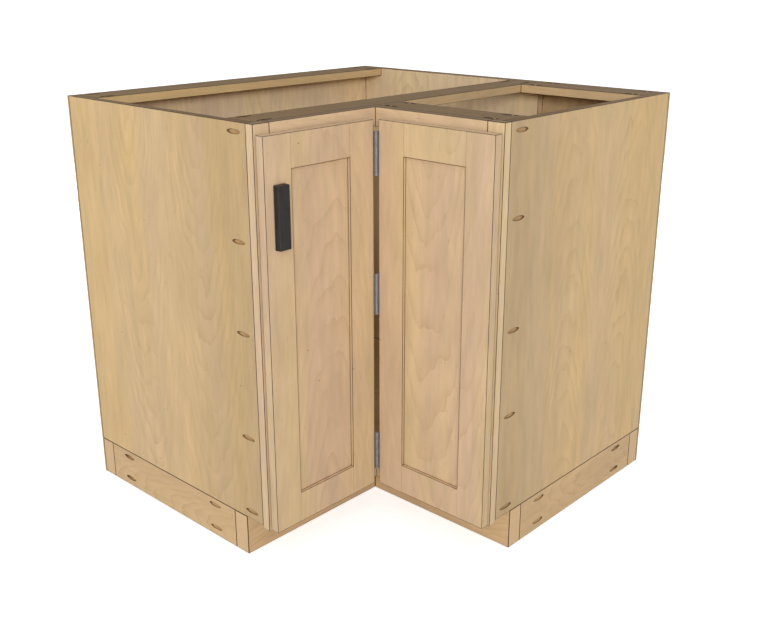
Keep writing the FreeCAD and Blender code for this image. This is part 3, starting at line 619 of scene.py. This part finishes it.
# How far the long edges of each kind of wood are eased, how long such an edge is at least, from which angle
# an edge is sharp, how nearly a face is square to an axis to be shaded flat, and which points are one
EASE = {"plywood": 0.0005, "painted_light_lining": 0.0005, "frame": 0.0009, "door": 0.0004, "stud": 0.0016}
LONG_EDGE = 0.012
SHARP_EDGE = math.radians(46)
FLAT_FACE = 0.999
WELD = 0.00001


def dress(name, material):
    """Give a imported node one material."""
    mesh = nodes[name].data
    mesh.materials.clear()
    mesh.materials.append(material)


def geometry_group(name, build):
    """A group of geometry nodes; build adds those between its incoming geometry and what it gives back."""
    tree = bpy.data.node_groups.new(name, "GeometryNodeTree")
    for way in ("INPUT", "OUTPUT"):
        tree.interface.new_socket("Geometry", in_out=way, socket_type="NodeSocketGeometry")
    group = Nodes(tree)
    came = group.add("NodeGroupInput").outputs[0]
    group.add("NodeGroupOutput", {0: build(group, came)})
    return tree


def edge_angle(group):
    """The angle between the faces at an edge."""
    return group.add("GeometryNodeInputMeshEdgeAngle").outputs["Unsigned Angle"]


def weigh_long_edges(group, geometry):
    """Weigh the long sharp edges of a board for its bevel, and not the rims of its holes."""
    ends = group.add("GeometryNodeInputMeshEdgeVertices").outputs
    length = group.vector_math("DISTANCE", ends["Position 1"], ends["Position 2"], "Value")
    sharp = group.math("GREATER_THAN", edge_angle(group), SHARP_EDGE)
    weight = group.math("MULTIPLY", sharp, group.math("GREATER_THAN", length, LONG_EDGE))
    inputs = {"Geometry": geometry, "Name": "bevel_weight_edge", "Value": weight}
    settings = {"data_type": "FLOAT", "domain": "EDGE"}
    return group.add("GeometryNodeStoreNamedAttribute", inputs, **settings).outputs[0]


def flatten_faces(group, geometry):
    """Shade the faces of a board flat, and the walls of its holes and its eased edges smooth."""
    inputs = {"Geometry": geometry, "Name": "custom_normal"}
    plain = group.add("GeometryNodeRemoveAttribute", inputs).outputs[0]
    parts = group.axes(group.add("GeometryNodeInputNormal").outputs["True Normal"])
    size = group.math("MAXIMUM", *[group.math("ABSOLUTE", parts[axis]) for axis in AXES])
    inputs = {"Geometry": plain, "Shade Smooth": group.math("LESS_THAN", size, FLAT_FACE)}
    faces = group.add("GeometryNodeSetShadeSmooth", inputs, domain="FACE").outputs[0]
    inputs = {"Geometry": faces, "Shade Smooth": group.math("LESS_THAN", edge_angle(group), SHARP_EDGE)}
    return group.add("GeometryNodeSetShadeSmooth", inputs, domain="EDGE").outputs[0]


def ease(name, width, groups):
    """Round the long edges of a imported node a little."""
    modifiers = nodes[name].modifiers
    modifiers.new("weld", "WELD").merge_threshold = WELD
    modifiers.new("long_edges", "NODES").node_group = groups[0]
    bevel = modifiers.new("ease", "BEVEL")
    bevel.width = width
    bevel.segments = 2
    bevel.limit_method = "WEIGHT"
    modifiers.new("flat_faces", "NODES").node_group = groups[1]


def box_of(names):
    """Lowest and highest corner of the box round some nodes."""
    boxes = [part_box(name) for name in names]
    low = Vector([min(box[0][i] for box in boxes) for i in range(3)])
    high = Vector([max(box[1][i] for box in boxes) for i in range(3)])
    return low, high


def door_opening(members, across):
    """The opening of a door frame across and up: (axis, low, high) twice."""
    index = AXES.index(across)
    outer, inner, top, bottom = [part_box(name) for name in members]
    return (across, outer[1][index], inner[0][index]), ("Z", bottom[1][2], top[0][2])


def dress_boards():
    """Wood for every board, and eased edges for all but the rails of the doors."""
    groups = geometry_group("long_edges", weigh_long_edges), geometry_group("flat_faces", flatten_faces)
    for name, row in BOARDS.items():
        board = Board(*row, box=box_of([name]), opening=())
        dress(name, wood_material(f"{board.kind}_{name}", board))
        ease(name, EASE[board.kind], groups)
    for leg, (thick, across, cut) in DOOR_CUTS.items():
        members = [f"{leg}_door_{member}" for member in DOOR_MEMBERS]
        opening = door_opening(members, across)
        board = Board("door", "Z", thick, SOLID, cut, box_of(members), opening)
        material = wood_material(f"door_frame_{leg}", board)
        for name in members:
            dress(name, material)
            if name.endswith("stile"):
                ease(name, EASE["door"], groups)


def islands(name):
    """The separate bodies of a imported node, each as an array of its points."""
    mesh = bmesh.new()
    mesh.from_mesh(nodes[name].data)
    bmesh.ops.remove_doubles(mesh, verts=mesh.verts, dist=0.000005)
    waiting = set(mesh.verts)
    found = []
    for first in mesh.verts:
        if first not in waiting:
            continue
        waiting.discard(first)
        front, members = [first], []
        while front:
            here = front.pop()
            members.append(here.co[:])
            for edge in here.link_edges:
                other = edge.other_vert(here)
                if other in waiting:
                    waiting.discard(other)
                    front.append(other)
        found.append(np.array(members))
    mesh.free()
    return found


def axis_frame(points, long):
    """Centre and axis of a turned body: its longest way if it is long, or else its shortest."""
    centre = points.mean(0)
    ways = np.linalg.eigh(np.cov((points - centre).T))[1]
    return centre, ways[:, -1 if long else 0]


def along_axis(points, centre, axis):
    """Height along an axis, and distance from it, of each point."""
    level = (points - centre) @ axis
    return level, np.linalg.norm(points - centre - np.outer(level, axis), axis=1)


# Points of a screw this near to a level belong to it, and its head is at least so high
SAME_LEVEL = 0.0002
LEAST_HEAD = 0.0005
# A head is sunk if it is narrower than this share of its radius at its foot
SUNK_FOOT = 0.9


def measure_screw(points):
    """Where a screw's head is, which way it faces, and its sizes."""
    centre, axis = axis_frame(points, True)
    level, radius = along_axis(points, centre, axis)
    if radius[level > 0].max() < radius[level < 0].max():
        axis, level = -axis, -level
    top, tip = level.max(), level.min()
    below = level[level < top - LEAST_HEAD].max()
    under = radius[abs(level - below) < SAME_LEVEL]
    return {
        "seat": Vector(centre + axis * top),
        "axis": Vector(axis),
        "length": top - tip,
        "head": radius.max(),
        "shank": radius[abs(level - tip) < SAME_LEVEL].max(),
        "height": top - below,
        "sunk": under.max() < SUNK_FOOT * radius.max(),
    }


# Points round a turned solid, and half the width of a cross recess's arms
SIDES = 32
CROSS_ARM = 0.3


def circle(angle):
    """Outline of a round section of radius 1."""
    return 1.0


def square_drive(angle):
    """Outline of a square recess of half width 1."""
    return 1.0 / max(abs(math.cos(angle)), abs(math.sin(angle)))


def cross_drive(angle):
    """Outline of a cross recess with arms of length 1."""
    cosine, sine = max(abs(math.cos(angle)), 1e-6), max(abs(math.sin(angle)), 1e-6)
    return max(min(1 / cosine, CROSS_ARM / sine), min(CROSS_ARM / cosine, 1 / sine))


def turned_solid(mesh, place, rings):
    """A closed solid about Z of a placement, from rings of (radius, height, outline), foot to top."""
    rows = []
    for radius, height, outline in rings:
        row = []
        for i in range(SIDES):
            angle = 2 * math.pi * (i + 0.5) / SIDES
            reach = radius * outline(angle)
            point = Vector((reach * math.cos(angle), reach * math.sin(angle), height))
            row.append(mesh.verts.new(place @ point))
        rows.append(row)
    for lower, upper in zip(rows, rows[1:]):
        for i in range(SIDES):
            j = (i + 1) % SIDES
            mesh.faces.new((lower[i], lower[j], upper[j], upper[i]))
    mesh.faces.new(list(reversed(rows[0])))
    mesh.faces.new(rows[-1])


def placement(seat, axis):
    """Placement at a point with its Z along an axis."""
    turn = Vector((0, 0, 1)).rotation_difference(axis).to_matrix().to_4x4()
    return Matrix.Translation(seat) @ turn


# Thread, in radii of the shank: core, pitch, and the length and tip of the point; then the share of a pitch
# at which a ridge leaves the core, reaches its crest, leaves it and is back
THREAD_CORE = 0.78
THREAD_PITCH = 0.90
POINT_LENGTH = 1.6
POINT_TIP = 0.12
RIDGE = (0.40, 0.55, 0.65, 0.80)
# Heads: a pan head's rings as shares of its radius and of its height below the top, and its crown; the rim
# of a sunk head as a share of its radius, and its levels
PAN_RINGS = ((0.96, 1.0), (1.0, 0.85), (1.0, 0.45), (0.90, 0.14))
PAN_CROWN = 0.02
SUNK_RIM = 0.985
SUNK_LEVELS = (-0.0002, -0.00005)
# Drive recess: where the crown ends in radii of the head, depth in heights of the head, and how it narrows
CROWN_END = 0.72
PAN_RECESS = 0.62
SUNK_RECESS = 0.75
RECESS_MIDDLE, RECESS_FLOOR = 0.92, 0.55


def screw_rings(size, drive, reach):
    """Rings of a screw from its tip to the bottom of its drive recess, with its head's top at height 0."""
    shank, head, height = size["shank"], size["head"], size["height"]
    core, pitch = THREAD_CORE * shank, THREAD_PITCH * shank
    tip = -size["length"]
    level = tip + POINT_LENGTH * shank
    rings = [(POINT_TIP * shank, tip, circle), (core, level, circle)]
    while level + pitch < -height - shank:
        for share, radius in zip(RIDGE, (core, shank, shank, core)):
            rings.append((radius, level + share * pitch, circle))
        level += pitch
    rings.append((shank, -height, circle))
    if size["sunk"]:
        crown, depth = 0.0, SUNK_RECESS * height
        rings += [(SUNK_RIM * head, step, circle) for step in SUNK_LEVELS]
    else:
        crown, depth = -PAN_CROWN * height, PAN_RECESS * height
        rings += [(wide * head, -low * height, circle) for wide, low in PAN_RINGS]
    opening = reach * head
    rings += [
        (CROWN_END * head, crown, circle),
        (opening, crown, drive),
        (RECESS_MIDDLE * opening, -0.5 * depth, drive),
        (RECESS_FLOOR * opening, -depth, drive),
    ]
    return rings


SMOOTH_ANGLE = math.radians(35)


def finish_piece(name, mesh, node, material):
    """Make a piece from a mesh, with one material and the body of the node that it stands for, and hide that
    node.
    """
    bmesh.ops.recalc_face_normals(mesh, faces=mesh.faces)
    data = bpy.data.meshes.new(name)
    mesh.to_mesh(data)
    mesh.free()
    data.materials.append(material)
    piece = bpy.data.objects.new(name, data)
    bpy.context.scene.collection.objects.link(piece)
    data.shade_smooth()
    data.set_sharp_from_angle(angle=SMOOTH_ANGLE)
    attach(piece, nodes[node]["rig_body"])
    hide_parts(node)


# Screws: outline of the drive recess, and its reach in radii of the head
SQUARE = (square_drive, 0.40)
CROSS = (cross_drive, 0.56)
SCREWS = {
    "toe_kick_pocket_screws": SQUARE,
    "stretcher_pocket_screws": SQUARE,
    "side_panel_pocket_screws": SQUARE,
    "corner_hinge_left_screws": CROSS,
    "corner_hinge_right_screws": CROSS,
    "hinge_cup_screws": CROSS,
    "hinge_arm_screws": CROSS,
    "pull_screws": CROSS,
}


def make_screws(material):
    """Screws with a drive recess and ridged shanks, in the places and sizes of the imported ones."""
    for node, (drive, reach) in SCREWS.items():
        mesh = bmesh.new()
        for points in islands(node):
            size = measure_screw(points)
            turned_solid(mesh, placement(size["seat"], size["axis"]), screw_rings(size, drive, reach))
        finish_piece(node + ".turned", mesh, node, material)


# Bumpers: rings of the straight part as shares of radius and height, then how much of both lies outside the
# dome's curve, the steps of that curve and how much of a quarter turn it makes
BUMPER_FOOT = ((0.97, 0.0), (1.0, 0.06), (1.0, 0.28))
DOME_INSET = 0.28
DOME_STEPS = 6
DOME_TURN = 0.97


def bumper_rings(radius, tall):
    """Rings of a domed pad from its foot to its top."""
    rings = [(wide * radius, high * tall, circle) for wide, high in BUMPER_FOOT]
    for step in range(1, DOME_STEPS + 1):
        lean = DOME_TURN * math.pi / 2 * step / DOME_STEPS
        wide = DOME_INSET + (1 - DOME_INSET) * math.cos(lean)
        high = DOME_INSET + (1 - DOME_INSET) * math.sin(lean)
        rings.append((wide * radius, high * tall, circle))
    return rings


def make_bumpers(material):
    """Domed pads with a flat foot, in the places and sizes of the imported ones."""
    for node in ("left_door_bumpers", "right_door_bumpers"):
        mesh = bmesh.new()
        for points in islands(node):
            centre, axis = axis_frame(points, False)
            if axis.sum() < 0:
                axis = -axis
            level, radius = along_axis(points, centre, axis)
            seat = Vector(centre + axis * level.min())
            rings = bumper_rings(radius.max(), level.max() - level.min())
            turned_solid(mesh, placement(seat, Vector(axis)), rings)
        finish_piece(node + ".domed", mesh, node, material)


HINGE_NODES = [
    f"{level}_corner_hinge_{piece}"
    for level in ("upper", "middle", "lower") for piece in ("left_leaf", "right_leaf", "pin")
] + [f"{level}_hinge_{piece}" for level in ("upper", "lower") for piece in ("cup", "cup_pin", "arm")]


def dress_hardware():
    """Steel hinges, black pull, detailed screws and bumpers."""
    hinge_steel = steel_material("hinge_steel", srgb(144, 141, 141), roughness=0.72)
    screw_steel = steel_material("screw_steel", srgb(172, 166, 150), roughness=0.40)
    for name in HINGE_NODES:
        dress(name, hinge_steel)
    dress("pull", black_material())
    make_screws(screw_steel)
    make_bumpers(rubber_material())


# Floor: half its side, how far it lies below the cabinet, its finish, and the glow that only the eye sees,
# near the cabinet and far from it
FLOOR_HALF = 40.0
FLOOR_DROP = 0.0005
FLOOR_FINISH = {"Base Color": (0.80, 0.80, 0.80, 1.0), "Roughness": 0.9, "Specular IOR Level": 0.0}
GLOW_RANGE = (0.8, 4.0)
GLOW_NEAR, GLOW_FAR = 0.62, 0.95
# Light of the sky at the horizon and from this height of its arc upwards
HORIZON_LIGHT, OVERHEAD_LIGHT = 0.18, 0.36
OVERHEAD_START = 0.75
# Soft lamps: place, width, height and power in watts; the left one lights the faces towards -X
LAMPS = {
    "left_softbox": ((-4.2, 0.8, 0.9), 1.4, 1.2, 14.0),
    "right_softbox": ((0.8, -4.2, 0.9), 1.4, 1.2, 4.0),
    "front_softbox": ((-4.3, -4.15, 2.3), 2.0, 1.4, 210.0),
    "high_softbox": ((-2.3, -2.2, 3.4), 1.5, 1.2, 20.0),
    "back_left_softbox": ((0.6, 4.3, 1.0), 1.4, 1.2, 80.0),
    "back_right_softbox": ((4.3, 0.6, 1.0), 1.4, 1.2, 80.0),
}
LAMP_TARGET = Vector((0.0, 0.0, 0.42))
CAMERA_PLACE = (-1.566327, -1.480414, 1.145453)
CAMERA_YAW = 0.74457
CAMERA_DIP = 0.33346
CAMERA_LENS = 46.261
CAMERA_SENSOR = 36.0


def seen_directly(tree):
    """One for rays from the camera and for mirrored or refracted ones."""
    rays = tree.add("ShaderNodeLightPath").outputs
    kinds = ("Is Camera Ray", "Is Glossy Ray", "Is Transmission Ray")
    return tree.math("MAXIMUM", *[rays[kind] for kind in kinds])


def make_floor():
    """Pale floor: the camera sees it near white, and it keeps the shadow of the cabinet."""
    corners = [(FLOOR_HALF * x, FLOOR_HALF * y, 0) for x, y in ((-1, -1), (1, -1), (1, 1), (-1, 1))]
    data = bpy.data.meshes.new("floor")
    data.from_pydata(corners, [], [(0, 1, 2, 3)])
    floor = bpy.data.objects.new("floor", data)
    floor.location.z = -FLOOR_DROP
    bpy.context.scene.collection.objects.link(floor)
    shade = Shading("floor")
    for name, value in FLOOR_FINISH.items():
        shade.surface.inputs[name].default_value = value
    away = shade.vector_math("LENGTH", shade.coordinate("Object"), output="Value")
    strength = shade.spread(away, *GLOW_RANGE, GLOW_NEAR, GLOW_FAR)
    glow = shade.add("ShaderNodeEmission", {"Color": WHITE, "Strength": strength}).outputs[0]
    nothing = shade.add("ShaderNodeEmission", {"Color": WHITE, "Strength": 0.0}).outputs[0]
    extra = shade.add("ShaderNodeMixShader", {0: seen_directly(shade), 1: nothing, 2: glow}).outputs[0]
    whole = shade.add("ShaderNodeAddShader", {0: shade.surface.outputs[0], 1: extra}).outputs[0]
    shade.feed(shade.tree.nodes["Material Output"].inputs["Surface"], whole)
    data.materials.append(shade.material)


def make_world():
    """White to look at; as light, faint round the horizon and stronger overhead."""
    world = bpy.data.worlds.new("studio")
    world.use_nodes = True
    bpy.context.scene.world = world
    sky = Nodes(world.node_tree)
    height = sky.axes(sky.coordinate("Generated"))["Z"]
    strength = sky.spread(height, 0.0, OVERHEAD_START, HORIZON_LIGHT, OVERHEAD_LIGHT)
    light = sky.tree.nodes["Background"]
    sky.feed(light.inputs["Color"], WHITE)
    sky.feed(light.inputs["Strength"], strength)
    plain = sky.add("ShaderNodeBackground", {"Color": WHITE, "Strength": 1.0})
    inputs = {0: seen_directly(sky), 1: light.outputs[0], 2: plain.outputs[0]}
    both = sky.add("ShaderNodeMixShader", inputs).outputs[0]
    sky.feed(sky.tree.nodes["World Output"].inputs["Surface"], both)


def make_lamps():
    """Soft boxes all round, the strongest in front."""
    for name, (place, width, height, power) in LAMPS.items():
        data = bpy.data.lights.new(name, "AREA")
        data.shape = "RECTANGLE"
        data.size = width
        data.size_y = height
        data.energy = power
        lamp = bpy.data.objects.new(name, data)
        lamp.location = place
        lamp.rotation_euler = (LAMP_TARGET - Vector(place)).to_track_quat("-Z", "Y").to_euler()
        bpy.context.scene.collection.objects.link(lamp)


def make_camera():
    """The photograph's point of view."""
    data = bpy.data.cameras.new("photo_view")
    data.lens = CAMERA_LENS
    data.sensor_width = CAMERA_SENSOR
    data.sensor_fit = "HORIZONTAL"
    camera = bpy.data.objects.new("photo_view", data)
    camera.location = CAMERA_PLACE
    camera.rotation_euler = (math.pi / 2 - CAMERA_DIP, 0.0, CAMERA_YAW - math.pi / 2)
    bpy.context.scene.collection.objects.link(camera)
    bpy.context.scene.camera = camera


dress_boards()
dress_hardware()
make_floor()
make_world()
make_lamps()
make_camera()
bpy.context.scene.view_settings.view_transform = "Standard"
